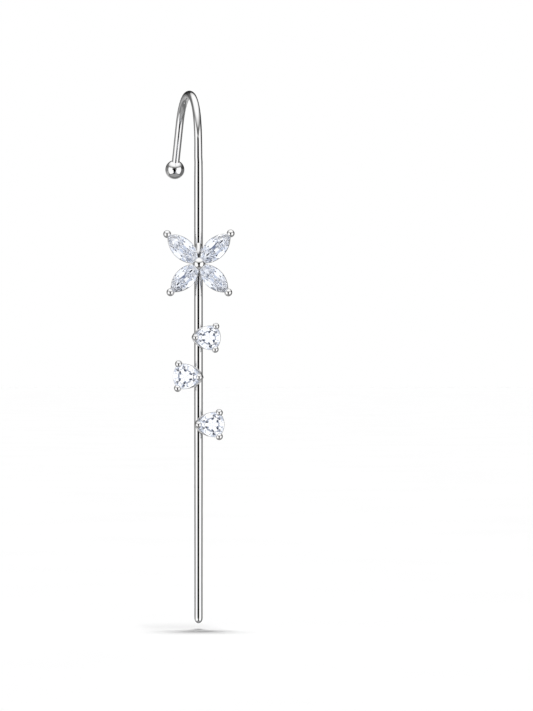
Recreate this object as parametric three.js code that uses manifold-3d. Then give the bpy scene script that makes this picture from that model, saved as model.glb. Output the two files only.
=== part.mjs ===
// A long hook earring, in millimetres with +Z up.
// A straight round wire hangs down at the front. Its top bends back into an open hook that ends in a
// ball. On the wire sit a butterfly of four marquise stones and three small triangular stones.
// The origin is where the hook rests on the ear, under the highest point of its bend.
// The front of the jewel faces -Y, and +X is to the right as seen from the front.
import * as THREE from "three";
import Module from "manifold-3d";
import { mergeVertices } from "three/addons/utils/BufferGeometryUtils.js";
import { ConvexGeometry } from "three/addons/geometries/ConvexGeometry.js";

const wasm = await Module();
wasm.setup();
const degrees = THREE.MathUtils.degToRad;

// Driving dimensions
const HOOK_RADIUS = 0.395; // of the wire, in the hook
const HOOK_TURN = degrees(14.9); // of the hook's plane, from straight back towards -X
const FRONT_BEND = 3.73; // radius of the hook's front quarter, to the wire's centre
const BACK_BEND = 4.43; // radius of the bend behind the highest point
const FLARE = degrees(25.2); // of the hook's free end, away from the wire
const FREE_END = 5.25; // straight length from the bend to the centre of the ball
const BALL_RADIUS = 0.975;

const POST_RADIUS = 0.435; // of the straight wire behind the stones
const POST_ROWS = [
  { z: -5.6, radius: 0.37 }, // inside the hook's wire
  { z: -8.4, radius: POST_RADIUS },
  { z: -33.4, radius: 0.43 },
  { z: -46.4, radius: 0.413 },
];
const POST_BOTTOM = -52.735;
const HOOK_IN_POST = 2; // length of the hook's wire that is hidden in the straight one
const TIP_ROUNDING = 0.535; // length of the rounded tip

const GIRDLE_FORWARD = 1.1; // from the wire's centre to the widest plane of the stones
const STONE_GAP = 0.05; // between a stone and its metal

const BUTTERFLY = { x: 0.08, z: -16.82, bead: 0.64, beadForward: 0.3, stem: 0.42 };
// A wing's angle is anticlockwise from +X, and its reach is from the centre bead to the claw's bead.
const WINGS = [
  { name: "upper_left", angle: 137.1, reach: 4.35, length: 4.0, width: 2.0 },
  { name: "upper_right", angle: 43.9, reach: 4.37, length: 4.0, width: 2.0 },
  { name: "lower_left", angle: 224.8, reach: 4.03, length: 3.78, width: 1.9 },
  { name: "lower_right", angle: -44.4, reach: 4.08, length: 3.78, width: 1.9 },
];
const WING_CLAW = { bead: 0.39, stem: 0.23, beadForward: 0.14, tipInside: 0.15 };

// x is from the wire's centre, and the point of the triangle looks along the angle, at the wire.
const SIDE_STONES = [
  { name: "top", x: 1.06, z: -24.18, side: 2.3, angle: 178.3, bead: 0.34 },
  { name: "middle", x: -1.31, z: -28.05, side: 2.42, angle: -2.5, bead: 0.365 },
  { name: "bottom", x: 1.4, z: -32.85, side: 2.38, angle: 180, bead: 0.36 },
];
const SIDE_BULGE = 0.21; // of each curved side, as a share of the triangle's side
const SIDE_CLAW = { stem: 0.21, beadForward: 0.14, cornerInside: 0.03 };
// The foot that is soldered to the wire: a claw stem that flares along the wire, and two arms
// under the stone's point.
const WIRE_FOOT = { flare: 0.47, flareAcross: 0.55, armReach: 0.8, armWider: 0.5 };

// Each loop of a cut stone is its outline at a share of its size and of its half width in height.
const CUT = [
  { share: 0.56, height: 0.36, corners: "even" },
  { share: 0.8, height: 0.25, corners: "odd" },
  { share: 1, height: 0.03, corners: "all" },
  { share: 1, height: -0.03, corners: "all" },
  { share: 0.5, height: -0.5, corners: "odd" },
  { share: 0.05, height: -0.82, corners: "even" },
];
// The ring under a stone's edge: heights as in CUT, and its outlines as shares of the stone's.
const SEAT = { top: -0.26, bottom: -0.6, inner: 0.62, outer: 0.9 };

// How finely the round forms are cut into flat faces
const WIRE_SIDES = 16;
const WIRE_STEP = 0.6; // along the hook
const BALL_RINGS = 12;
const TIP_RINGS = 5;
const BEAD_SIDES = 12;
const BEAD_RINGS = 8;
const LEAF_STEPS = 8; // on each side of a marquise
const TRIANGLE_STEPS = 6; // on each side of a triangle
const WELD = 1e-4; // points that are closer than this are one

// Sizes that follow from the driving dimensions
const WIRE_TOP = HOOK_RADIUS;
const BEND_START = WIRE_TOP - FRONT_BEND;
const SOCKET = BEND_START - POST_ROWS[0].z + HOOK_IN_POST; // from the bend to the wire's hidden end
const POST_X = FRONT_BEND * Math.sin(HOOK_TURN);
const POST_Y = -FRONT_BEND * Math.cos(HOOK_TURN);
const GIRDLE_Y = POST_Y - GIRDLE_FORWARD;

const silver = new THREE.MeshStandardMaterial({ color: 0xd9d9da, roughness: 0.08, metalness: 1 });
const crystal = new THREE.MeshStandardMaterial({ color: 0xf2f5fa, roughness: 0.02, metalness: 0 });

// A closed geometry as a solid that can be joined and cut.
function solid(geometry) {
  const faces = geometry.index ? geometry.toNonIndexed() : geometry;
  const bare = new THREE.BufferGeometry();
  bare.setAttribute("position", faces.getAttribute("position"));
  const merged = mergeVertices(bare, WELD);
  const mesh = new wasm.Mesh({
    numProp: 3,
    vertProperties: merged.getAttribute("position").array,
    triVerts: new Uint32Array(merged.index.array),
  });
  return new wasm.Manifold(mesh);
}

function join(solids) {
  return solids.reduce((whole, piece) => whole.add(piece));
}

// The solid's surface as a geometry with flat faces.
function surface(body) {
  const mesh = body.getMesh();
  const geometry = new THREE.BufferGeometry();
  geometry.setAttribute("position", new THREE.BufferAttribute(mesh.vertProperties, 3));
  geometry.setIndex(new THREE.BufferAttribute(mesh.triVerts, 1));
  const flat = geometry.toNonIndexed();
  flat.computeVertexNormals();
  return flat;
}

// A geometry that was made in an object's own frame, as a solid in the earring's.
function inPlace(geometry, object) {
  return solid(geometry.clone().applyMatrix4(object.matrixWorld));
}

// The hook's centre line in its own plane: y is back from the origin, and z is up.
class HookLine extends THREE.Curve {
  constructor() {
    super();
    const backTurn = Math.PI / 2 - FLARE;
    const bendEnd = {
      y: BACK_BEND * Math.sin(backTurn),
      z: WIRE_TOP - BACK_BEND * (1 - Math.cos(backTurn)),
    };
    this.stretches = [
      { length: SOCKET, at: (s) => [-FRONT_BEND, BEND_START - SOCKET + s] },
      {
        length: (FRONT_BEND * Math.PI) / 2,
        at: (s) => [
          -FRONT_BEND * Math.cos(s / FRONT_BEND),
          BEND_START + FRONT_BEND * Math.sin(s / FRONT_BEND),
        ],
      },
      {
        length: BACK_BEND * backTurn,
        at: (s) => [
          BACK_BEND * Math.sin(s / BACK_BEND),
          WIRE_TOP - BACK_BEND * (1 - Math.cos(s / BACK_BEND)),
        ],
      },
      {
        length: FREE_END,
        at: (s) => [bendEnd.y + s * Math.sin(FLARE), bendEnd.z - s * Math.cos(FLARE)],
      },
    ];
    this.whole = this.stretches.reduce((sum, stretch) => sum + stretch.length, 0);
  }

  getPoint(t, target = new THREE.Vector3()) {
    let s = t * this.whole;
    let i = 0;
    while (i < this.stretches.length - 1 && s > this.stretches[i].length) {
      s -= this.stretches[i].length;
      i += 1;
    }
    const [y, z] = this.stretches[i].at(s);
    return target.set(0, y, z);
  }
}

// The hook and its ball. The wire's lower end is hidden in the post.
function hook() {
  const line = new HookLine();
  const corners = [];
  for (let i = 0; i < WIRE_SIDES; i++) {
    const angle = (2 * Math.PI * i) / WIRE_SIDES;
    corners.push(new THREE.Vector2(Math.cos(angle), Math.sin(angle)).multiplyScalar(HOOK_RADIUS));
  }
  const wire = new THREE.ExtrudeGeometry(new THREE.Shape(corners), {
    extrudePath: line,
    steps: Math.round(line.whole / WIRE_STEP),
    bevelEnabled: false,
  });
  const end = line.getPoint(1);
  const ball = new THREE.SphereGeometry(BALL_RADIUS, WIRE_SIDES, BALL_RINGS);
  ball.rotateX(Math.PI / 2).translate(end.x, end.y, end.z);
  return [wire.rotateZ(HOOK_TURN), ball.rotateZ(HOOK_TURN)];
}

// The straight wire, which is thickest behind the stones and ends in a rounded tip.
function post() {
  const tipRadius = POST_ROWS.at(-1).radius;
  const profile = [new THREE.Vector2(0, POST_ROWS[0].z)];
  for (const row of POST_ROWS) {
    profile.push(new THREE.Vector2(row.radius, row.z));
  }
  for (let i = 0; i <= TIP_RINGS; i++) {
    const angle = (i / TIP_RINGS) * (Math.PI / 2);
    const radius = i === TIP_RINGS ? 0 : tipRadius * Math.cos(angle);
    const z = POST_BOTTOM + TIP_ROUNDING * (1 - Math.sin(angle));
    profile.push(new THREE.Vector2(radius, z));
  }
  const wire = new THREE.LatheGeometry(profile.reverse(), WIRE_SIDES);
  return wire.rotateX(Math.PI / 2).rotateZ(HOOK_TURN).translate(POST_X, POST_Y, 0);
}

// The outline of a marquise: two arcs that meet in points on the x axis.
function leafOutline(length, width) {
  const radius = (length ** 2 + width ** 2) / (4 * width);
  const half = Math.asin(length / (2 * radius));
  const points = [];
  for (const side of [1, -1]) {
    for (let i = 0; i < LEAF_STEPS; i++) {
      const angle = half * (1 - (2 * i) / LEAF_STEPS);
      const x = radius * Math.sin(angle);
      const y = radius * Math.cos(angle) - (radius - width / 2);
      points.push(new THREE.Vector2(side * x, side * y));
    }
  }
  return points;
}

// The outline of a triangle with bulging sides, whose first corner is on the +x axis.
function triangleOutline(side, bulge) {
  const inner = side / Math.sqrt(12);
  const radius = ((side / 2) ** 2 + bulge ** 2) / (2 * bulge);
  const half = Math.asin(side / (2 * radius));
  const points = [];
  for (let k = 0; k < 3; k++) {
    const outward = degrees(60 + 120 * k);
    for (let i = 0; i < TRIANGLE_STEPS; i++) {
      const angle = half * (-1 + (2 * i) / TRIANGLE_STEPS);
      const out = inner + bulge - radius + radius * Math.cos(angle);
      const along = radius * Math.sin(angle);
      points.push(new THREE.Vector2(out, along).rotateAround(new THREE.Vector2(), outward));
    }
  }
  return points;
}

// A cut stone with its table facing +z, from loops of its outline.
function cutStone(name, outline, halfWidth) {
  const points = [];
  for (const loop of CUT) {
    outline.forEach((point, i) => {
      if (loop.corners === "even" && i % 2 === 1) return;
      if (loop.corners === "odd" && i % 2 === 0) return;
      const flat = point.clone().multiplyScalar(loop.share);
      points.push(new THREE.Vector3(flat.x, flat.y, loop.height * halfWidth));
    });
  }
  const stone = new THREE.Mesh(new ConvexGeometry(points), crystal);
  stone.name = name;
  return stone;
}

// The room that a stone takes in its metal: the stone, grown by the gap on every side.
function stoneRoom(stone) {
  const room = stone.geometry.clone();
  room.computeBoundingBox();
  const size = room.boundingBox.getSize(new THREE.Vector3());
  const centre = room.boundingBox.getCenter(new THREE.Vector3());
  const growth = new THREE.Vector3(2, 2, 2).multiplyScalar(STONE_GAP).divide(size).addScalar(1);
  room.translate(-centre.x, -centre.y, -centre.z);
  room.scale(growth.x, growth.y, growth.z);
  return inPlace(room.translate(centre.x, centre.y, centre.z), stone);
}

// An open seat under a stone's edge: a flat ring between two outlines.
function seatRing(outer, inner, top, bottom) {
  const shape = new THREE.Shape(outer);
  shape.holes.push(new THREE.Path(inner));
  const ring = new THREE.ExtrudeGeometry(shape, { depth: top - bottom, bevelEnabled: false });
  return ring.translate(0, 0, bottom);
}

// A claw in the stones' plane: a round stem from the height of its foot up to a bead.
function claw({ x, y, foot, stem, bead, beadForward }) {
  const shaft = new THREE.CylinderGeometry(stem, stem, beadForward - foot, BEAD_SIDES);
  shaft.rotateX(Math.PI / 2).translate(x, y, (foot + beadForward) / 2);
  const ball = new THREE.SphereGeometry(bead, BEAD_SIDES, BEAD_RINGS);
  ball.rotateX(Math.PI / 2).translate(x, y, beadForward);
  return [shaft, ball];
}

// A wing of the butterfly, along its holder's x axis: the stone, its seat and its outer claw.
function wing(row) {
  const middle = row.reach - WING_CLAW.tipInside - row.length / 2;
  const halfWidth = row.width / 2;
  const outline = leafOutline(row.length, row.width);
  const stone = cutStone("wing_stone_" + row.name, outline, halfWidth);
  stone.position.x = middle;
  const holder = new THREE.Group();
  holder.rotation.z = degrees(row.angle);
  holder.add(stone);
  const inner = leafOutline(row.length * SEAT.inner, row.width * SEAT.inner);
  const outer = leafOutline(2 * (row.reach - middle), row.width * SEAT.outer);
  const foot = SEAT.bottom * halfWidth;
  const seat = seatRing(outer, inner, SEAT.top * halfWidth, foot);
  const metal = [seat.translate(middle, 0, 0), ...claw({ ...WING_CLAW, x: row.reach, y: 0, foot })];
  return { holder, stone, metal };
}

// A small triangular stone, its seat and three claws. Its point looks along its holder's x axis.
function sideStone(row) {
  const halfWidth = row.side / 2;
  const bulge = row.side * SIDE_BULGE;
  const stoneSide = row.side - SIDE_CLAW.cornerInside * Math.sqrt(3);
  const outline = triangleOutline(stoneSide, bulge);
  const stone = cutStone("side_stone_" + row.name, outline, halfWidth);
  const holder = new THREE.Group();
  holder.position.set(row.x, row.z, 0);
  holder.rotation.z = degrees(row.angle);
  holder.add(stone);
  const inner = triangleOutline(row.side * SEAT.inner, bulge * SEAT.inner);
  const outer = triangleOutline(row.side, bulge * SEAT.outer);
  const top = SEAT.top * halfWidth;
  const foot = SEAT.bottom * halfWidth;
  const corner = row.side / Math.sqrt(3);
  const metal = [seatRing(outer, inner, top, foot), flaredFoot(corner, top), footArms(row, top)];
  for (let k = 0; k < 3; k++) {
    const x = corner * Math.cos(degrees(120 * k));
    const y = corner * Math.sin(degrees(120 * k));
    metal.push(...claw({ ...SIDE_CLAW, x, y, foot, bead: row.bead }));
  }
  return { holder, stone, metal };
}

// The claw stem over the wire, which widens along the wire from the seat to the wire's centre.
function flaredFoot(corner, top) {
  const height = top + GIRDLE_FORWARD;
  const foot = new THREE.CylinderGeometry(SIDE_CLAW.stem, WIRE_FOOT.flare, height, BEAD_SIDES);
  foot.rotateX(Math.PI / 2).scale(WIRE_FOOT.flareAcross, 1, 1);
  return foot.translate(corner, 0, top - height / 2);
}

// The V under the stone's point: two arms of a wider seat, carried down into the wire.
function footArms(row, top) {
  const bulge = row.side * SIDE_BULGE;
  const outer = triangleOutline(row.side + WIRE_FOOT.armWider, bulge);
  const inner = triangleOutline(row.side * SEAT.inner, bulge * SEAT.inner);
  const arms = seatRing(outer, inner, top, POST_RADIUS / 2 - GIRDLE_FORWARD);
  const { armReach } = WIRE_FOOT;
  const near = new THREE.CylinderGeometry(armReach, armReach, 2 * GIRDLE_FORWARD, BEAD_SIDES);
  near.rotateX(Math.PI / 2).translate(row.side / Math.sqrt(3), 0, 0);
  return surface(solid(arms).intersect(solid(near)));
}

const earring = new THREE.Group();

// The stones' plane: its own y is up and its z is to the front, and the wire's centre is at x = 0.
const front = new THREE.Group();
front.position.set(POST_X, GIRDLE_Y, 0);
front.rotation.x = Math.PI / 2;
earring.add(front);

const wings = WINGS.map(wing);
const butterfly = new THREE.Group();
butterfly.position.set(BUTTERFLY.x, BUTTERFLY.z, 0);
butterfly.add(...wings.map(({ holder }) => holder));
front.add(butterfly);

const sides = SIDE_STONES.map(sideStone);
front.add(...sides.map(({ holder }) => holder));
earring.updateMatrixWorld();

// All the metal is soldered into one piece, and then each stone's room is cut out of it.
const settings = [...wings, ...sides];
const centre = claw({ ...BUTTERFLY, x: 0, y: 0, foot: -GIRDLE_FORWARD });
const metal = join([
  ...[...hook(), post()].map(solid),
  ...centre.map((piece) => inPlace(piece, butterfly)),
  ...settings.flatMap((setting) => setting.metal.map((piece) => inPlace(piece, setting.holder))),
]);
const rooms = join(settings.map(({ stone }) => stoneRoom(stone)));
const wire = new THREE.Mesh(surface(metal.subtract(rooms)), silver);
wire.name = "ear_wire";
earring.add(wire);

export default earring;
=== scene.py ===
import math
from functools import partial

import bmesh
import bpy
from mathutils import Matrix, Vector


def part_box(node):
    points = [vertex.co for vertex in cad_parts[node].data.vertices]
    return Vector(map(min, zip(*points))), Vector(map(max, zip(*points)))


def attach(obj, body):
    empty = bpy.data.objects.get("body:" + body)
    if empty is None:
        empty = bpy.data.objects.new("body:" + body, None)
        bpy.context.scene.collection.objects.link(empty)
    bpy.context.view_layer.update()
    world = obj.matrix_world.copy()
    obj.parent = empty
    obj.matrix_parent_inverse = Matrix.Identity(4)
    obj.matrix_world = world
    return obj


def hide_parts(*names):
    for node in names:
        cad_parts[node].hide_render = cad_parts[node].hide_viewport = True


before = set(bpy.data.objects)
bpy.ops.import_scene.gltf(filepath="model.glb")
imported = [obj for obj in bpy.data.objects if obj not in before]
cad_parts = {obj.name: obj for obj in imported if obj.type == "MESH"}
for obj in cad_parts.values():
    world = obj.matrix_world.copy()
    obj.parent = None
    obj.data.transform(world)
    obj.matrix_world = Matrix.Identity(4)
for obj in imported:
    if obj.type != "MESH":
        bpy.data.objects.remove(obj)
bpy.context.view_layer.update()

MM = 0.001
UP = Vector((0, 0, 1))
FRONT = Vector((0, -1, 0))

# The wire. The CAD part's bends are plain arcs, and here they ease into the straight wire. So the
# hook's turn, its back bend and its free end differ slightly from the CAD part's, which keeps the
# outline that the photograph shows.
HOOK_RADIUS = 0.395 * MM  # of the wire, in the hook
HOOK_TURN = math.radians(14.5)  # of the hook's plane, from straight back towards -X
FRONT_BEND = 3.73 * MM  # radius of the hook's front quarter, to the wire's centre
BACK_BEND = 4.3 * MM  # radius of the bend behind the highest point
FLARE = math.radians(25.2)  # of the hook's free end, away from the wire
FREE_END = 5.36 * MM  # straight length from the bend to the centre of the ball
BALL_RADIUS = 0.975 * MM
EASE_IN = 2.8 * MM  # half the length over which the straight wire eases into its bend
EASE = 1.0 * MM  # the same further round the hook
EASING_DROP = 0.03 * MM  # how much lower the top comes out where the bends are eased
WIRE_TOP = HOOK_RADIUS  # the highest point of the centre line, since the wire rests on the origin
BEND_START = WIRE_TOP - FRONT_BEND + EASING_DROP
POST = Vector((0.959 * MM, -3.605 * MM, 0))  # where the straight wire stands
POST_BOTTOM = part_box("ear_wire")[0].z
TIP_ROUNDING = 0.535 * MM  # length of the rounded tip
# The wire's radius by height, from the hook down to the start of the rounded tip
WIRE_ROWS = (
    dict(z=-4.6 * MM, radius=0.395 * MM),
    dict(z=-8.4 * MM, radius=0.435 * MM),
    dict(z=-33.4 * MM, radius=0.43 * MM),
    dict(z=-46.4 * MM, radius=0.413 * MM),
)

# The settings. Their own plane lies at the stones' widest outline, and its height is to the front.
# A wing's angle is anticlockwise from +X, and its reach is from the centre bead to the claw's bead.
GIRDLE_FORWARD = 1.1 * MM  # from the wire's centre to that plane
BUTTERFLY = dict(x=0.08 * MM, z=-16.82 * MM, bead=0.64 * MM, forward=0.3 * MM, stem=0.42 * MM)
WINGS = (
    dict(name="upper_left", angle=137.1, reach=4.35 * MM, length=4.0 * MM, width=2.0 * MM),
    dict(name="upper_right", angle=43.9, reach=4.37 * MM, length=4.0 * MM, width=2.0 * MM),
    dict(name="lower_left", angle=224.8, reach=4.03 * MM, length=3.78 * MM, width=1.9 * MM),
    dict(name="lower_right", angle=-44.4, reach=4.08 * MM, length=3.78 * MM, width=1.9 * MM),
)
WING_CLAW = dict(bead=0.39 * MM, stem=0.23 * MM, forward=0.14 * MM)
TIP_INSIDE = 0.15 * MM  # from a claw's centre to the stone's tip under it
SPOKE = 0.15 * MM  # radius of the bars from a wing's seat to the centre and to the outer claw
# The point that joins the wire to the centre bead: its ends' heights and radii, and how far its
# lower end is to the front
GUSSET = dict(top=-14.75 * MM, bottom=-15.7 * MM, forward=0.8 * MM, wide=0.42 * MM, narrow=0.1 * MM)

# x is from the wire's centre, and the point of the triangle looks along the angle, at the wire.
SIDES = (
    dict(name="top", x=1.06 * MM, z=-24.18 * MM, side=2.3 * MM, angle=178.3, bead=0.34 * MM),
    dict(name="middle", x=-1.31 * MM, z=-28.05 * MM, side=2.42 * MM, angle=-2.5, bead=0.365 * MM),
    dict(name="bottom", x=1.4 * MM, z=-32.85 * MM, side=2.38 * MM, angle=180, bead=0.36 * MM),
)
SIDE_BULGE = 0.21  # of each curved side, as a share of the triangle's side
SIDE_CLAW = dict(stem=0.21 * MM, forward=0.14 * MM)
CORNER_INSIDE = 0.03 * MM  # from a claw's centre to the stone's corner
# The foot on the wire: its half length along the wire, and its width as a share of that
WIRE_FOOT = dict(flare=0.47 * MM, across=0.55)
# The rail under a triangle, which runs wider at the wire. The shares are of the triangle's outline.
RAIL = dict(half_width=0.13 * MM, half_height=0.2 * MM, share=0.905, at_wire=1.22)

# The seat under a stone. In height its sizes are shares of the stone's half width, from the widest
# outline. Sideways they are shares of that outline. Its inside slopes out from inner to the lip.
SEAT = dict(top=-0.26, inner_top=-0.44, bottom=-0.6, inner=0.62, lip=0.8, outer=0.9)
# The rim of a marquise's seat, which shows round the stone. Its heights are from the seat's top.
RIM = dict(inner=0.97, outer=1.045, inner_rise=0.05, edge_top=-0.07, edge_bottom=-0.15, bottom=-0.2)
SEAT_BEVEL = dict(across=0.03, height=0.04)

# Facets of a cut stone. In a facet's plane the height falls in a straight line from apex, over the
# stone's middle, by fall at its outline. Both are shares of the half width. The directions of the
# facets are in degrees from a marquise's tip or a triangle's corner. They are given for a quarter of
# the one and for a sixth of the other, and are mirrored round.
TABLE_HEIGHT = 0.3
CROWN = (
    dict(facets="main", apex=0.74, fall=0.71),
    dict(facets="break", apex=1.0, fall=0.985),
    dict(facets="star", apex=0.515, fall=0.37),
)
PAVILION = (
    dict(facets="main", apex=0.93, fall=0.9),
    dict(facets="lower", apex=1.01, fall=0.98),
)
MARQUISE_FACETS = {"main": (45, 90), "break": (25, 67), "star": (0, 66), "lower": (62,)}
TRIANGLE_FACETS = {"main": (0, 60), "break": (14, 46), "star": (30,), "lower": (30,)}

# How finely the shapes are made
MARQUISE_POINTS = 48
TRIANGLE_POINTS = 60
SEAT_POINTS = 64
RAIL_POINTS = 72
FOOT_STEPS = 8
MERGE_DISTANCE = 0.0005 * MM
SHARP_ANGLE = math.radians(40)

# Materials. The noise over a surface goes from low to high, and its grain is its cells in a metre.
SILVER_TONES = dict(grain=400, low=(0.93, 0.93, 0.935, 1), high=(0.97, 0.965, 0.96, 1))
SILVER_ROUGHNESS = dict(grain=2500, low=0.02, high=0.06)
SILVER_MARKS = dict(strength=0.02, depth=0.005 * MM)
STONE_TONES = dict(grain=900, low=(0.955, 0.97, 1.0, 1), high=(0.985, 0.985, 1.0, 1))
STONE_IOR = 2.17  # how strongly the stones bend light
FLOOR_TONES = dict(grain=30, low=0.93, high=0.95)
FLOOR_ROUGHNESS = 0.9
NOISE_DETAIL = 3.0
NOISE_SPAN = (0.3, 0.7)  # the part of the noise's range that is spread over the whole of a ramp

# Levels of light that the silver mirrors
CARD = 1.05
CARD_EDGE = 0.62
TABLE = 0.33
TABLE_EDGE = 0.05
GAP = 0.25
FRONT_GAP = 0.12
SLIT = 0.0
ROOM = 0.16
ROOM_LEFT = 0.23
ROOM_UPPER_LEFT = 0.15
ROOM_BAND = 0.05
ROOM_BACK = 0.03
ROOM_LOW_LEFT = 0.4
ROOM_LOW_BACK = 0.5
ROOM_FLOOR = 0.17

# Light that shines through the stones, in rings round straight to the front. Each ring shows in
# facets of its own, and the notes say which those are in a marquise.
STONE_SIDES = (
    dict(start=57, soft=4, level=0.72),
    dict(start=85, soft=6, level=0.55),
)
STONE_RINGS = (
    dict(start=8, end=14, soft=0.5, level=0.0),  # small triangles at mid-length
    dict(start=14, end=18, soft=0.5, level=0.85),  # large facets at the outline
    dict(start=23.5, end=26, soft=0.5, level=0.9),  # ovals at both sides of the middle
    dict(start=26, end=28.5, soft=0.5, level=0.66),  # triangles beside them
    dict(start=28.5, end=33, soft=0.5, level=0.15),  # slivers at the outline and the tips
    dict(start=50, end=55, soft=1.5, level=0.3),
)
# The colour that a level of light in the stones takes, and how much brighter that is made
STONE_DARKEST = (0.004, 0.005, 0.01, 1)
STONE_GREYS = (0.3, (0.12, 0.15, 0.24, 1)), (0.6, (0.42, 0.48, 0.6, 1))
STONE_BRIGHTEST = (1, 1, 1, 1)
STONE_GAIN = 1.4

# What lights the floor from all round, and what the camera sees behind everything
FLOOR_LIGHT = (0.25, 0.25, 0.25, 1)
BACKDROP = (1, 1, 1, 1)
# Spread is how wide the lamp's disc is in the sky, and lean turns it back from straight overhead.
LAMP = dict(strength=2.7, spread=math.radians(9), lean=math.radians(-6))

# The photograph's view
PHOTO_SIZE = (533, 711)
PIXEL = 0.1 * MM  # what a pixel of the photograph spans at the wire
CAMERA_DISTANCE = 400 * MM
POST_PIXEL = 198.5  # where the straight wire's middle is in the photograph, from the left
CAMERA_Z = -25.955 * MM  # puts the top of the hook where it is in the photograph
SENSOR = 36.0  # width of the camera's sensor, to which its lens is given
FLOOR_Z = -53.3 * MM  # a little below the wire's tip
FLOOR_REACH = 3.0  # in metres, from its middle to each edge


def radius_at(z):
    """The straight wire's radius at a height."""
    above = WIRE_ROWS[0]
    for row in WIRE_ROWS:
        if z > row["z"]:
            span = above["z"] - row["z"]
            part = (above["z"] - z) / span if span else 0
            return above["radius"] + part * (row["radius"] - above["radius"])
        above = row
    return above["radius"]


def hook_tangent(s):
    """Angle of the hook's line from straight up, s after the start of its first bend, not eased."""
    front_end = FRONT_BEND * math.pi / 2
    back_end = front_end + BACK_BEND * (math.pi / 2 - FLARE)
    if s < 0:
        return 0
    if s < front_end:
        return s / FRONT_BEND
    return math.pi / 2 + (min(s, back_end) - front_end) / BACK_BEND


def eased_tangent(s, samples=12):
    """hook_tangent averaged over the length in which one bend eases into the next."""
    reach = EASE + (EASE_IN - EASE) * max(0, 1 - max(0, s) / (2 * EASE_IN))
    offsets = [reach * (2 * (i + 0.5) / samples - 1) for i in range(samples)]
    return sum(hook_tangent(s + offset) for offset in offsets) / samples


def hook_line(step=0.15 * MM):
    """Points of the hook's centre line from below its first bend to the middle of the ball."""
    start = EASE_IN
    whole = FRONT_BEND * math.pi / 2 + BACK_BEND * (math.pi / 2 - FLARE) + FREE_END
    count = round((start + whole) / step)
    step = (start + whole) / count
    back, up = -FRONT_BEND, BEND_START - start
    points = [(back, up)]
    for i in range(count):
        angle = eased_tangent(-start + (i + 0.5) * step)
        back += step * math.sin(angle)
        up += step * math.cos(angle)
        points.append((back, up))
    out = Vector((-math.sin(HOOK_TURN), math.cos(HOOK_TURN), 0))
    return [out * y + Vector((0, 0, z)) for y, z in points]


def post_line(step=0.5 * MM, tip_steps=14):
    """Points and radii of the straight wire from its rounded tip up to the hook."""
    rounding_top = POST_BOTTOM + TIP_ROUNDING
    points, radii = [], []
    tip_radius = radius_at(rounding_top)
    for i in range(1, tip_steps):
        angle = math.pi / 2 * (1 - i / tip_steps)
        points.append(POST + Vector((0, 0, rounding_top - TIP_ROUNDING * math.sin(angle))))
        radii.append(tip_radius * math.cos(angle))
    top = BEND_START - EASE_IN
    count = math.ceil((top - rounding_top) / step)
    for i in range(count):
        z = rounding_top + (top - rounding_top) * i / count
        points.append(POST + Vector((0, 0, z)))
        radii.append(radius_at(z))
    return points, radii


def sweep(bm, path, radii, sides, closed=False, across=None, squash=1.0):
    """A tube along a path, with closed ends or closed to a ring. Squash scales it sideways to the
    direction across."""
    count = len(path)
    rings = []
    normal = None
    for i, point in enumerate(path):
        if closed:
            tangent = (path[(i + 1) % count] - path[i - 1]).normalized()
        else:
            tangent = (path[min(i + 1, count - 1)] - path[max(i - 1, 0)]).normalized()
        if across is not None:
            normal = across - tangent * across.dot(tangent)
        elif normal is None:
            normal = tangent.orthogonal()
        else:
            normal = normal - tangent * normal.dot(tangent)
        normal = normal.normalized()
        side = tangent.cross(normal)
        ring = []
        for j in range(sides):
            angle = 2 * math.pi * j / sides
            offset = normal * math.cos(angle) + side * (math.sin(angle) * squash)
            ring.append(bm.verts.new(point + offset * radii[i]))
        rings.append(ring)
    pairs = list(zip(rings, rings[1:]))
    if closed:
        pairs.append((rings[-1], rings[0]))
    for low, high in pairs:
        for j in range(sides):
            k = (j + 1) % sides
            bm.faces.new((low[j], low[k], high[k], high[j]))
    if not closed:
        for ring, step in ((rings[0], -1), (rings[-1], 1)):
            middle = bm.verts.new(sum((v.co for v in ring), Vector()) / sides)
            for j in range(sides):
                bm.faces.new((ring[j], middle, ring[(j + 1) % sides])[::step])


def ball(bm, centre, radius, rings=24):
    """A round bead, whose rings lie round a line to the front."""
    matrix = Matrix.Translation(centre) @ FRONT.to_track_quat("Z", "Y").to_matrix().to_4x4()
    bmesh.ops.create_uvsphere(bm, u_segments=2 * rings, v_segments=rings, radius=radius, matrix=matrix)


def band(bm, loops):
    """A closed ring from loops of points, each joined to the next and the last to the first."""
    rows = [[bm.verts.new(point) for point in loop] for loop in loops]
    count = len(rows[0])
    for i, row in enumerate(rows):
        after = rows[(i + 1) % len(rows)]
        for j in range(count):
            k = (j + 1) % count
            bm.faces.new((row[j], row[k], after[k], after[j]))


def face_outward(bm):
    """Turns every shell's faces outward, at a larger size, as the real one is too small for this."""
    bm.transform(Matrix.Scale(1 / MM, 4))
    bmesh.ops.recalc_face_normals(bm, faces=bm.faces)
    if bm.calc_volume(signed=True) < 0:
        bmesh.ops.reverse_faces(bm, faces=bm.faces)
    bm.transform(Matrix.Scale(MM, 4))


def piece(name, bm, material, nodes, smooth):
    """A finished mesh object that rides on the part and stands for its CAD nodes."""
    face_outward(bm)
    mesh = bpy.data.meshes.new(name)
    bm.to_mesh(mesh)
    bm.free()
    for polygon in mesh.polygons:
        polygon.use_smooth = smooth
    if smooth:
        mesh.set_sharp_from_angle(angle=SHARP_ANGLE)
    mesh.materials.append(material)
    made = bpy.data.objects.new(name, mesh)
    bpy.context.collection.objects.link(made)
    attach(made, "root")
    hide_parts(*nodes)


def metal_piece(name, bm):
    piece(name, bm, SILVER, ["ear_wire"], smooth=True)


def stone_piece(node, bm):
    piece(node + "_cut", bm, CRYSTAL, [node], smooth=False)


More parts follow.
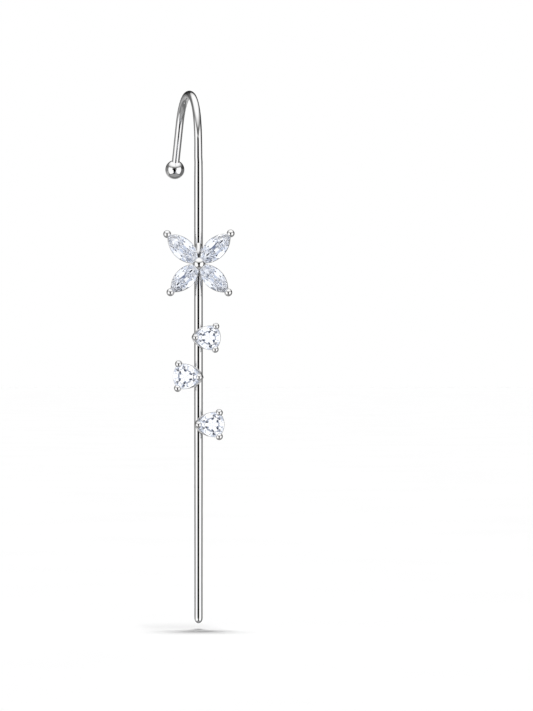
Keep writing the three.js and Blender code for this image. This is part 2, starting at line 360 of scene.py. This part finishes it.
def setting_frame(x, z, angle=0.0):
    """The matrix from a setting's own plane, with its height to the front, to the earring."""
    origin = POST + Vector((x, -GIRDLE_FORWARD, z))
    stand_up = Matrix.Rotation(math.pi / 2, 4, "X")
    return Matrix.Translation(origin) @ stand_up @ Matrix.Rotation(math.radians(angle), 4, "Z")


def leaf_point(length, width, t):
    """A point of the marquise's outline, t from 0 to 1 round it from the tip on the +x axis."""
    radius = (length**2 + width**2) / (4 * width)
    half = math.asin(length / (2 * radius))
    side = 1 if t < 0.5 else -1
    angle = half * (1 - 4 * (t % 0.5))
    x = radius * math.sin(angle)
    y = radius * math.cos(angle) - (radius - width / 2)
    return Vector((side * x, side * y, 0))


def leaf_support(length, width, direction):
    """Distance of the marquise's tangent with that outward direction from its middle."""
    radius = (length**2 + width**2) / (4 * width)
    off_side = math.pi / 2 - math.acos(abs(math.cos(direction)))
    if math.cos(off_side) * radius < radius - width / 2 or off_side > math.asin(length / (2 * radius)):
        return abs(math.cos(direction)) * length / 2
    return radius - (radius - width / 2) * math.cos(off_side)


def triangle_point(side, bulge, t):
    """A point of the bulging triangle's outline, t from 0 to 1 round it from its corner on +x."""
    inner = side / math.sqrt(12)
    radius = ((side / 2) ** 2 + bulge**2) / (2 * bulge)
    half = math.asin(side / (2 * radius))
    k = int(3 * t) % 3
    angle = half * (2 * (3 * t - int(3 * t)) - 1)
    out = inner + bulge - radius + radius * math.cos(angle)
    turned = Matrix.Rotation(math.radians(60 + 120 * k), 3, "Z")
    return turned @ Vector((out, radius * math.sin(angle), 0))


def triangle_support(side, bulge, direction):
    """Distance of the bulging triangle's tangent with that outward direction from its middle."""
    inner = side / math.sqrt(12)
    radius = ((side / 2) ** 2 + bulge**2) / (2 * bulge)
    off_side = abs((direction - math.radians(60)) % math.radians(120))
    off_side = min(off_side, math.radians(120) - off_side)
    if off_side > math.asin(side / (2 * radius)):
        return side / math.sqrt(3) * math.cos(math.radians(60) - off_side)
    return radius + (inner + bulge - radius) * math.cos(off_side)


def mirrored(directions, fold):
    """The facet directions of one sector in radians, mirrored and repeated round the stone."""
    every = set()
    for k in range(fold):
        for direction in directions:
            for sign in (1, -1):
                every.add(round((sign * direction + 360 * k / fold) % 360, 6))
    return [math.radians(direction) for direction in sorted(every)]


def trim(faces, point, normal, tolerance=1e-8):
    """The part of a convex body that is left below a plane, with the new face that closes it."""
    kept, rim = [], []
    for face in faces:
        heights = [(vertex - point).dot(normal) for vertex in face]
        left = []
        for i, vertex in enumerate(face):
            here, after = heights[i], heights[(i + 1) % len(face)]
            if here <= tolerance:
                left.append(vertex)
            if abs(here) <= tolerance:
                rim.append(vertex)
            elif abs(after) > tolerance and here * after < 0:
                crossing = vertex.lerp(face[(i + 1) % len(face)], here / (here - after))
                left.append(crossing)
                rim.append(crossing)
        if len(left) > 2 and min(heights) < -tolerance:
            kept.append(left)
    corners = []
    for vertex in rim:
        if all((vertex - corner).length > 10 * tolerance for corner in corners):
            corners.append(vertex)
    if len(corners) > 2 and len(kept) > 0:
        middle = sum(corners, Vector()) / len(corners)
        east = (corners[0] - middle).normalized()
        north = normal.cross(east)
        corners.sort(key=lambda v: math.atan2((v - middle).dot(north), (v - middle).dot(east)))
        kept.append(corners)
    return kept


def cut_stone(bm, half_width, support, outline, facets, fold):
    """A cut stone: a straight block trimmed by the plane of each facet, as a cutter grinds them."""
    rise = UP * half_width
    faces = [[point + rise for point in outline], [point - rise for point in reversed(outline)]]
    for a, b in zip(outline, outline[1:] + outline[:1]):
        faces.append([a - rise, b - rise, b + rise, a + rise])
    faces = trim(faces, rise * TABLE_HEIGHT, UP)
    for families, up in ((CROWN, 1), (PAVILION, -1)):
        for family in families:
            apex = rise * up * family["apex"]
            for direction in mirrored(facets[family["facets"]], fold):
                slope = family["fall"] * half_width / support(direction)
                outward = Vector((math.cos(direction), math.sin(direction), 0))
                faces = trim(faces, apex, (outward * slope + UP * up).normalized())
    for face in faces:
        bm.faces.new([bm.verts.new(vertex) for vertex in face])
    bmesh.ops.remove_doubles(bm, verts=bm.verts, dist=MERGE_DISTANCE)
    bmesh.ops.dissolve_degenerate(bm, edges=bm.edges, dist=MERGE_DISTANCE)


def claw(bm, matrix, x, y, foot, stem, bead, forward):
    """A round stem from the height of its foot up to a bead."""
    bottom = matrix @ Vector((x, y, foot))
    top = matrix @ Vector((x, y, forward))
    sweep(bm, [bottom, top], [stem, stem], sides=24)
    ball(bm, top, bead)


def seat_band(bm, matrix, outline, half_width):
    """The seat under a marquise: a ring whose inside slopes as the stone in it does, with a bevelled
    rim that shows round the stone."""
    section = (
        (SEAT["lip"], SEAT["top"]),
        (RIM["inner"], SEAT["top"] + RIM["inner_rise"]),
        (RIM["outer"], SEAT["top"] + RIM["edge_top"]),
        (RIM["outer"], SEAT["top"] + RIM["edge_bottom"]),
        (SEAT["outer"], SEAT["top"] + RIM["bottom"]),
        (SEAT["outer"], SEAT["bottom"] + SEAT_BEVEL["height"]),
        (SEAT["outer"] - SEAT_BEVEL["across"], SEAT["bottom"]),
        (SEAT["inner"] + SEAT_BEVEL["across"], SEAT["bottom"]),
        (SEAT["inner"], SEAT["bottom"] + SEAT_BEVEL["height"]),
        (SEAT["inner"], SEAT["inner_top"]),
    )
    loops = []
    for share, height in section:
        rise = UP * (height * half_width)
        loop = [outline(share, i / SEAT_POINTS) + rise for i in range(SEAT_POINTS)]
        loops.append([matrix @ point for point in loop])
    band(bm, loops)


def make_wing(row):
    """A wing of the butterfly: its stone, and its seat with the outer claw."""
    length, width = row["length"], row["width"]
    half_width = width / 2
    middle = row["reach"] - TIP_INSIDE - length / 2
    matrix = setting_frame(BUTTERFLY["x"], BUTTERFLY["z"], row["angle"])
    at_middle = matrix @ Matrix.Translation((middle, 0, 0))

    def outline(share, t):
        return leaf_point(length * share, width * share, t)

    bm = bmesh.new()
    points = [outline(1, i / MARQUISE_POINTS) for i in range(MARQUISE_POINTS)]
    cut_stone(bm, half_width, partial(leaf_support, length, width), points, MARQUISE_FACETS, fold=2)
    bm.transform(at_middle)
    stone_piece("wing_stone_" + row["name"], bm)

    bm = bmesh.new()
    seat_band(bm, at_middle, outline, half_width)
    inner_tip = middle - SEAT["inner"] * length / 2
    outer_tip = middle + SEAT["inner"] * length / 2
    height = (SEAT["top"] + SEAT["bottom"]) / 2 * half_width
    for start, end in ((0, inner_tip), (outer_tip, row["reach"])):
        ends = [matrix @ Vector((x, 0, height)) for x in (start, end)]
        sweep(bm, ends, [SPOKE, SPOKE], sides=16)
    claw(bm, matrix, row["reach"], 0, SEAT["bottom"] * half_width, **WING_CLAW)
    metal_piece("wing_setting_" + row["name"], bm)


def add_rail(bm, matrix, row):
    """The closed rail under a triangular stone, which widens towards the wire."""
    corner = row["side"] / math.sqrt(3)
    height = SEAT["top"] * row["side"] / 2 - RAIL["half_height"]
    path = []
    for i in range(RAIL_POINTS):
        point = triangle_point(row["side"], row["side"] * SIDE_BULGE, i / RAIL_POINTS)
        near_wire = max(0, point.x / corner) ** 2
        share = RAIL["share"] + (RAIL["at_wire"] - RAIL["share"]) * near_wire
        path.append(matrix @ (point * share + UP * height))
    forward = matrix.to_3x3() @ UP
    squash = RAIL["half_width"] / RAIL["half_height"]
    radii = [RAIL["half_height"]] * RAIL_POINTS
    sweep(bm, path, radii, sides=16, closed=True, across=forward, squash=squash)


def add_wire_foot(bm, matrix, corner, foot):
    """The foot under the claw at the wire, which flares along the wire as solder does."""
    widen = WIRE_FOOT["flare"] - SIDE_CLAW["stem"]
    path, radii = [], []
    for i in range(FOOT_STEPS + 1):
        height = foot - (foot + GIRDLE_FORWARD) * i / FOOT_STEPS
        path.append(matrix @ Vector((corner, 0, height)))
        radii.append(SIDE_CLAW["stem"] + widen * (i / FOOT_STEPS) ** 2)
    sweep(bm, path, radii, sides=24, across=UP, squash=WIRE_FOOT["across"])


def make_side(row):
    """A small triangular stone, its rail, its three claws and its foot on the wire."""
    half_width = row["side"] / 2
    matrix = setting_frame(row["x"], row["z"], row["angle"])
    side = row["side"] - CORNER_INSIDE * math.sqrt(3)
    bulge = row["side"] * SIDE_BULGE

    bm = bmesh.new()
    points = [triangle_point(side, bulge, i / TRIANGLE_POINTS) for i in range(TRIANGLE_POINTS)]
    cut_stone(bm, half_width, partial(triangle_support, side, bulge), points, TRIANGLE_FACETS, fold=3)
    bm.transform(matrix)
    stone_piece("side_stone_" + row["name"], bm)

    bm = bmesh.new()
    corner = row["side"] / math.sqrt(3)
    foot = SEAT["bottom"] * half_width
    add_rail(bm, matrix, row)
    for k in range(3):
        place = Matrix.Rotation(math.radians(120 * k), 3, "Z") @ Vector((corner, 0, 0))
        claw(bm, matrix, place.x, place.y, foot, bead=row["bead"], **SIDE_CLAW)
    add_wire_foot(bm, matrix, corner, foot)
    metal_piece("side_setting_" + row["name"], bm)


def make_wire():
    """The hook and the straight wire in one, and the ball on the hook's end."""
    points, radii = post_line()
    hook = hook_line()
    # the wire has narrowed to the hook's radius before a third of the hook's line
    third = len(hook) // 3
    narrowing = [radius_at(point.z) for point in hook[:third]]
    even = [HOOK_RADIUS] * (len(hook) - third)
    across = Vector((math.cos(HOOK_TURN), math.sin(HOOK_TURN), 0))
    bm = bmesh.new()
    sweep(bm, points + hook, radii + narrowing + even, sides=48, across=across)
    metal_piece("hook_wire", bm)
    bm = bmesh.new()
    ball(bm, hook[-1], BALL_RADIUS, rings=32)
    metal_piece("hook_ball", bm)


def make_butterfly_centre():
    """The large bead in the middle of the wings, its stem, and the point that joins the wire to it."""
    matrix = setting_frame(BUTTERFLY["x"], BUTTERFLY["z"])
    bm = bmesh.new()
    claw(bm, matrix, 0, 0, -GIRDLE_FORWARD, BUTTERFLY["stem"], BUTTERFLY["bead"], BUTTERFLY["forward"])
    top = POST + Vector((0, 0, GUSSET["top"]))
    bottom = POST + Vector((0, -GUSSET["forward"], GUSSET["bottom"]))
    sweep(bm, [top, bottom], [GUSSET["wide"], GUSSET["narrow"]], sides=32)
    metal_piece("butterfly_bead", bm)


def new_material(name):
    material = bpy.data.materials.new(name)
    material.use_nodes = True
    nodes = material.node_tree.nodes
    return material, nodes, material.node_tree.links, nodes["Principled BSDF"]


def feed(links, socket, value):
    """Sets a socket to a number or a colour, or links another node's output to it."""
    if isinstance(value, (int, float, tuple)):
        socket.default_value = value
    else:
        links.new(value, socket)


def mix(nodes, links, kind, factor, a, b):
    """What goes from a to b as the factor goes from 0 to 1."""
    node = nodes.new("ShaderNodeMix")
    node.data_type = kind
    for name, value in (("Factor", factor), ("A", a), ("B", b)):
        feed(links, node.inputs[name], value)
    return node.outputs["Result"]


def noise_ramp(nodes, links, grain, low, high):
    """Noise over the surface, as it is and spread from one number to another."""
    coordinates = nodes.new("ShaderNodeTexCoord")
    noise = nodes.new("ShaderNodeTexNoise")
    noise.inputs["Scale"].default_value = grain
    noise.inputs["Detail"].default_value = NOISE_DETAIL
    spread = nodes.new("ShaderNodeMapRange")
    spread.inputs["From Min"].default_value, spread.inputs["From Max"].default_value = NOISE_SPAN
    spread.inputs["To Min"].default_value = low
    spread.inputs["To Max"].default_value = high
    links.new(coordinates.outputs["Object"], noise.inputs["Vector"])
    links.new(noise.outputs["Fac"], spread.inputs["Value"])
    return noise.outputs["Fac"], spread.outputs["Result"]


def colour_surface(nodes, links, shader, grain, low, high):
    """Gives a surface slow changes between two tones."""
    _, tone = noise_ramp(nodes, links, grain, 0, 1)
    links.new(mix(nodes, links, "RGBA", tone, low, high), shader.inputs["Base Color"])


def silver_material():
    """Mirror-polished plated silver: slow changes of tone, fine polishing marks."""
    material, nodes, links, shader = new_material("polished_silver")
    shader.inputs["Metallic"].default_value = 1.0
    colour_surface(nodes, links, shader, **SILVER_TONES)
    marks, roughness = noise_ramp(nodes, links, **SILVER_ROUGHNESS)
    links.new(roughness, shader.inputs["Roughness"])
    bump = nodes.new("ShaderNodeBump")
    bump.inputs["Strength"].default_value = SILVER_MARKS["strength"]
    bump.inputs["Distance"].default_value = SILVER_MARKS["depth"]
    links.new(marks, bump.inputs["Height"])
    links.new(bump.outputs["Normal"], shader.inputs["Normal"])
    return material


def crystal_material():
    """Clear cut stone with sharply bent light and the faintest cool tint."""
    material, nodes, links, shader = new_material("clear_stone")
    shader.inputs["IOR"].default_value = STONE_IOR
    shader.inputs["Transmission Weight"].default_value = 1.0
    shader.inputs["Roughness"].default_value = 0.0
    colour_surface(nodes, links, shader, **STONE_TONES)
    return material


class Sky:
    """A sky of soft-edged areas of light. A direction is given in degrees by its azimuth, which is 0
    to the front and positive to the right, by its elevation, and by its angle off the front. Its
    turn is its azimuth without the sign."""

    def __init__(self, nodes, links, light):
        self.nodes = nodes
        self.links = links
        self.light = light
        coordinates = nodes.new("ShaderNodeTexCoord")
        parts = nodes.new("ShaderNodeSeparateXYZ")
        links.new(coordinates.outputs["Generated"], parts.inputs[0])
        front = self.math("MULTIPLY", parts.outputs["Y"], -1)
        self.azimuth = self.degrees(self.math("ARCTAN2", parts.outputs["X"], front))
        self.elevation = self.degrees(self.math("ARCSINE", parts.outputs["Z"]))
        self.turn = self.math("ABSOLUTE", self.azimuth)
        self.off_front = self.degrees(self.math("ARCCOSINE", front))

    def math(self, operation, *values):
        node = self.nodes.new("ShaderNodeMath")
        node.operation = operation
        for socket, value in zip(node.inputs, values):
            feed(self.links, socket, value)
        return node.outputs[0]

    def degrees(self, radians):
        return self.math("MULTIPLY", radians, 180 / math.pi)

    def raised(self, slope, after=0):
        """The elevation less a share of the turn, for an edge that rises towards the back."""
        turn = self.math("MAXIMUM", self.math("SUBTRACT", self.turn, after), 0)
        return self.math("SUBTRACT", self.elevation, self.math("MULTIPLY", turn, slope))

    def above(self, value, edge, soft):
        """A mask that goes from 0 to 1 over the edge, from soft below it to soft above it."""
        step = self.nodes.new("ShaderNodeMapRange")
        step.interpolation_type = "SMOOTHSTEP"
        step.inputs["From Min"].default_value = edge - soft
        step.inputs["From Max"].default_value = edge + soft
        self.links.new(value, step.inputs["Value"])
        return step.outputs["Result"]

    def below(self, value, edge, soft):
        return self.math("SUBTRACT", 1, self.above(value, edge, soft))

    def within(self, value, low, high, soft):
        return self.math("SUBTRACT", self.above(value, low, soft), self.above(value, high, soft))

    def paint(self, level, *masks):
        """Lays a level of light over what is there, where every mask is 1."""
        mask = masks[0]
        for other in masks[1:]:
            mask = self.math("MULTIPLY", mask, other)
        self.light = mix(self.nodes, self.links, "FLOAT", mask, self.light, level)


def metal_sky(nodes, links):
    """What the silver mirrors: white cards at both sides and above, a black slit between the side
    cards, dark lines where the cards end, a grey table and a dim room behind."""
    sky = Sky(nodes, links, ROOM)
    left = sky.below(sky.azimuth, 0, 1)
    right = sky.above(sky.azimuth, 0, 1)
    # the room behind, darkest high up at the back and lightest a little below level
    sky.paint(ROOM_LEFT, left)
    sky.paint(ROOM_UPPER_LEFT, left, sky.above(sky.elevation, 14, 4))
    sky.paint(ROOM_BAND, right, sky.within(sky.elevation, 5, 26, 2.5))
    sky.paint(ROOM_BACK, sky.within(sky.elevation, 4, 90, 3), sky.above(sky.turn, 145, 8))
    sky.paint(ROOM_LOW_LEFT, left, sky.below(sky.elevation, -10, 5))
    sky.paint(ROOM_LOW_BACK, sky.below(sky.elevation, -8, 5), sky.above(sky.turn, 152, 8))
    sky.paint(ROOM_FLOOR, sky.below(sky.elevation, -36, 5))
    # the cards at the sides, which end a little before straight to the side
    sky.paint(CARD, sky.below(sky.off_front, 84, 2.5))
    # the table, whose edge rises towards the back, what lies straight below, and the dark edge
    table = sky.raised(0.28, after=85)
    sky.paint(TABLE, sky.below(table, -50, 1.5), sky.below(sky.turn, 120, 15))
    sky.paint(TABLE, sky.below(sky.elevation, -76, 5))
    sky.paint(TABLE_EDGE, sky.within(table, -53, -48, 2.5), sky.below(sky.off_front, 110, 5))
    # the gap under the top card, darker at the front, and the top card
    rising = sky.raised(0.07)
    sky.paint(GAP, sky.above(rising, 17, 3), sky.below(sky.off_front, 100, 8))
    sky.paint(FRONT_GAP, sky.above(rising, 13, 3), sky.below(sky.turn, 30, 12))
    sky.paint(CARD_EDGE, sky.above(sky.raised(0.11), 25, 4))
    sky.paint(CARD, sky.above(sky.raised(0.11), 36, 10))
    # the slit between the side cards, wider in its upper part and at its foot
    sky.paint(SLIT, sky.within(sky.azimuth, -17, 17, 2), sky.within(sky.elevation, -56, 13, 2))
    sky.paint(SLIT, sky.within(sky.azimuth, -28, 22, 2), sky.within(sky.elevation, -7, 13, 2))
    sky.paint(SLIT, sky.within(sky.azimuth, -28, 28, 2), sky.within(sky.elevation, -56, -42, 2))
    return sky.light


def stone_sky(nodes, links):
    """What shines through the stones: light from everywhere, with a black ring round the front and
    dimmer rings and sides further out, in cool greys."""
    sky = Sky(nodes, links, 1.0)
    for row in STONE_SIDES:
        sky.paint(row["level"], sky.above(sky.off_front, row["start"], row["soft"]))
    for row in STONE_RINGS:
        sky.paint(row["level"], sky.within(sky.off_front, row["start"], row["end"], row["soft"]))
    tint = nodes.new("ShaderNodeValToRGB")
    tint.color_ramp.elements[0].color = STONE_DARKEST
    tint.color_ramp.elements[1].color = STONE_BRIGHTEST
    for position, colour in STONE_GREYS:
        tint.color_ramp.elements.new(position).color = colour
    links.new(sky.light, tint.inputs["Fac"])
    brighter = nodes.new("ShaderNodeVectorMath")
    brighter.operation = "SCALE"
    brighter.inputs["Scale"].default_value = STONE_GAIN
    links.new(tint.outputs["Color"], brighter.inputs[0])
    return brighter.outputs["Vector"]


def make_world():
    """White to the camera, dim to the floor, and a sky of its own for each of the part's materials."""
    world = bpy.data.worlds.new("studio")
    world.use_nodes = True
    bpy.context.scene.world = world
    nodes, links = world.node_tree.nodes, world.node_tree.links
    path = nodes.new("ShaderNodeLightPath")
    colour = metal_sky(nodes, links)
    skies = (
        ("Is Transmission Ray", stone_sky(nodes, links)),
        ("Is Diffuse Ray", FLOOR_LIGHT),
        ("Is Camera Ray", BACKDROP),
    )
    for seen, light in skies:
        colour = mix(nodes, links, "RGBA", path.outputs[seen], colour, light)
    links.new(colour, nodes["Background"].inputs["Color"])


def make_floor():
    """A plain pale floor just under the wire's tip. The jewel mirrors the cards, not the floor."""
    material, nodes, links, shader = new_material("pale_floor")
    _, tone = noise_ramp(nodes, links, **FLOOR_TONES)
    links.new(tone, shader.inputs["Base Color"])
    shader.inputs["Roughness"].default_value = FLOOR_ROUGHNESS
    bm = bmesh.new()
    bmesh.ops.create_grid(bm, x_segments=1, y_segments=1, size=FLOOR_REACH)
    mesh = bpy.data.meshes.new("floor")
    bm.to_mesh(mesh)
    bm.free()
    mesh.materials.append(material)
    floor = bpy.data.objects.new("floor", mesh)
    floor.location.z = FLOOR_Z
    bpy.context.collection.objects.link(floor)
    floor.visible_glossy = False
    floor.visible_transmission = False


def make_lamp():
    """A soft lamp overhead and a little behind, which gives the shadow on the floor."""
    data = bpy.data.lights.new("lamp", "SUN")
    data.energy = LAMP["strength"]
    data.angle = LAMP["spread"]
    lamp = bpy.data.objects.new("lamp", data)
    lamp.rotation_euler = (LAMP["lean"], 0, 0)
    lamp.visible_glossy = False
    bpy.context.collection.objects.link(lamp)


def make_camera():
    """The photograph's view, level and straight from the front."""
    width, height = PHOTO_SIZE
    data = bpy.data.cameras.new("camera")
    data.sensor_width = SENSOR
    data.lens = SENSOR * CAMERA_DISTANCE / (height * PIXEL)
    camera = bpy.data.objects.new("camera", data)
    x = POST.x + (width / 2 - POST_PIXEL) * PIXEL
    y = POST.y - CAMERA_DISTANCE
    camera.location = (x, y, CAMERA_Z)
    camera.rotation_euler = (math.pi / 2, 0, 0)
    bpy.context.collection.objects.link(camera)
    bpy.context.scene.camera = camera


SILVER = silver_material()
CRYSTAL = crystal_material()
make_wire()
make_butterfly_centre()
for wing in WINGS:
    make_wing(wing)
for side in SIDES:
    make_side(side)
make_world()
make_floor()
make_lamp()
make_camera()
bpy.context.scene.view_settings.view_transform = "Standard"

# Enough bounces for the light to find its way out of the stones
bpy.context.scene.cycles.max_bounces = 24
bpy.context.scene.cycles.glossy_bounces = 16
bpy.context.scene.cycles.transmission_bounces = 16
